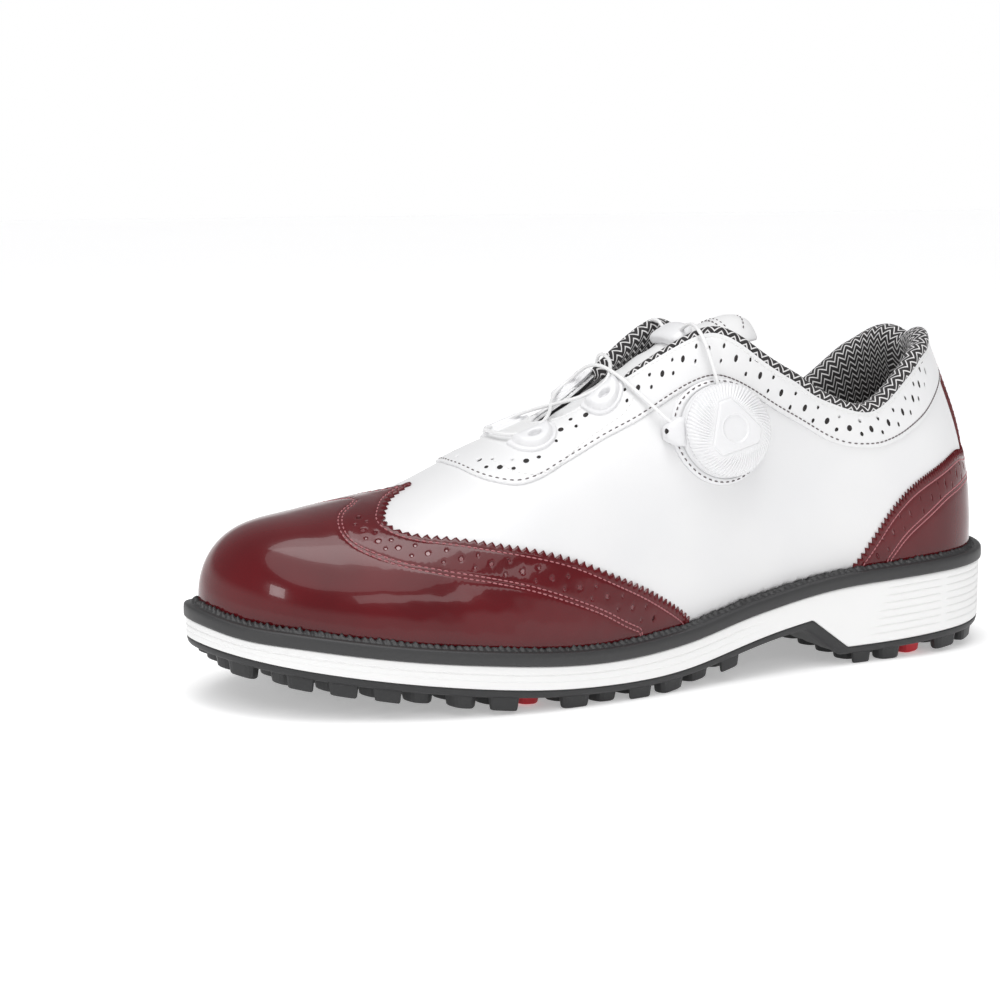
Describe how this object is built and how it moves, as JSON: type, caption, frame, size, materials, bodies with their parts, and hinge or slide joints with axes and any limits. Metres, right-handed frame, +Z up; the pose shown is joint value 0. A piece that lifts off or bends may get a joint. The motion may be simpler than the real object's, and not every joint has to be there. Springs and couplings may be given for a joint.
{
  "type": "golf shoe",
  "caption": "Left wingtip golf shoe with a dial-tensioned lace, perforated facing, padded collar, welted foam midsole and lugged rubber outsole.",
  "frame": {"origin": "on the ground plane, at the bottom centre of the shoe's box", "axes": "+X from the toe to the heel, +Y from the lateral (dial) side to the medial side, +Z up"},
  "size_m": [0.3013, 0.1071, 0.1215],
  "materials": {
    "rubber_black": "matte moulded outsole rubber",
    "rubber_red": "matte red moulded lugs",
    "foam_white": "smooth moulded foam wall",
    "shank_plastic": "matte",
    "cork_filler": "matte cork and foam",
    "welt_black": "satin with a stitched top",
    "board": "matte fibre board",
    "sockliner_fabric": "woven",
    "leather_white": "smooth fine grain, semi-matte",
    "patent_burgundy": "patent, high gloss",
    "stiffener": "matte",
    "lining_fabric": "knit",
    "herringbone_textile": "black and white herringbone weave",
    "plastic_white": "satin moulded",
    "lace_white": "fine braided cord",
    "steel": "plated"
  },
  "bodies": {
    "root": {"outsole": "rubber_black", "lug_inserts": "rubber_red", "midsole": "foam_white", "shank": "shank_plastic", "bottom_filler": "cork_filler", "welt": "welt_black", "insole_board": "board", "sockliner": "sockliner_fabric", "vamp": "leather_white", "quarter_lateral": "leather_white", "quarter_medial": "leather_white", "toe_cap": "patent_burgundy", "heel_foxing": "patent_burgundy", "back_strip": "patent_burgundy", "facing_band": "leather_white", "toe_puff": "stiffener", "heel_counter": "stiffener", "vamp_lining": "lining_fabric", "quarter_lining_lateral": "lining_fabric", "quarter_lining_medial": "lining_fabric", "collar_pad_lateral": "herringbone_textile", "collar_pad_medial": "herringbone_textile", "collar_roll": "herringbone_textile", "lace": "lace_white", "guide_lateral_front": "plastic_white", "guide_medial_front": "plastic_white", "guide_lateral_rear": "plastic_white", "guide_medial_rear": "plastic_white", "guide_medial_quarter": "plastic_white", "dial_housing": "plastic_white", "dial_axle": "steel"},
    "tongue": {"tongue": "leather_white", "tongue_tab": "leather_white", "tongue_guide": "plastic_white"},
    "dial_spool": {"dial_spool": "plastic_white"},
    "dial_carrier": {"dial_carrier": "plastic_white"},
    "dial_knob": {"dial_knob": "plastic_white"}
  },
  "joints": [
    {"name": "tongue_swing", "type": "hinge", "parent": "root", "child": "tongue", "pos_m": [-0.044, 0, 0.0735], "axis": [0, 1, 0], "range_deg": [0, 8], "stiffness_Nm_per_rad": 1, "deforming": ["lace"]},
    {"name": "dial_pull", "type": "slide", "parent": "root", "child": "dial_carrier", "axis": [-0.021, -0.9769, 0.2127], "range_m": [0, 0.0025]},
    {"name": "dial_turn", "type": "hinge", "parent": "dial_carrier", "child": "dial_knob", "pos_m": [0.025, -0.03323, 0.0851], "axis": [-0.021, -0.9769, 0.2127], "continuous": true},
    {"name": "spool_turn", "type": "hinge", "parent": "root", "child": "dial_spool", "pos_m": [0.025, -0.03323, 0.0851], "axis": [-0.021, -0.9769, 0.2127], "continuous": true}
  ],
  "couplings": [
    {"joint": "spool_turn", "follows": "dial_turn", "ratio": 1}
  ]
}
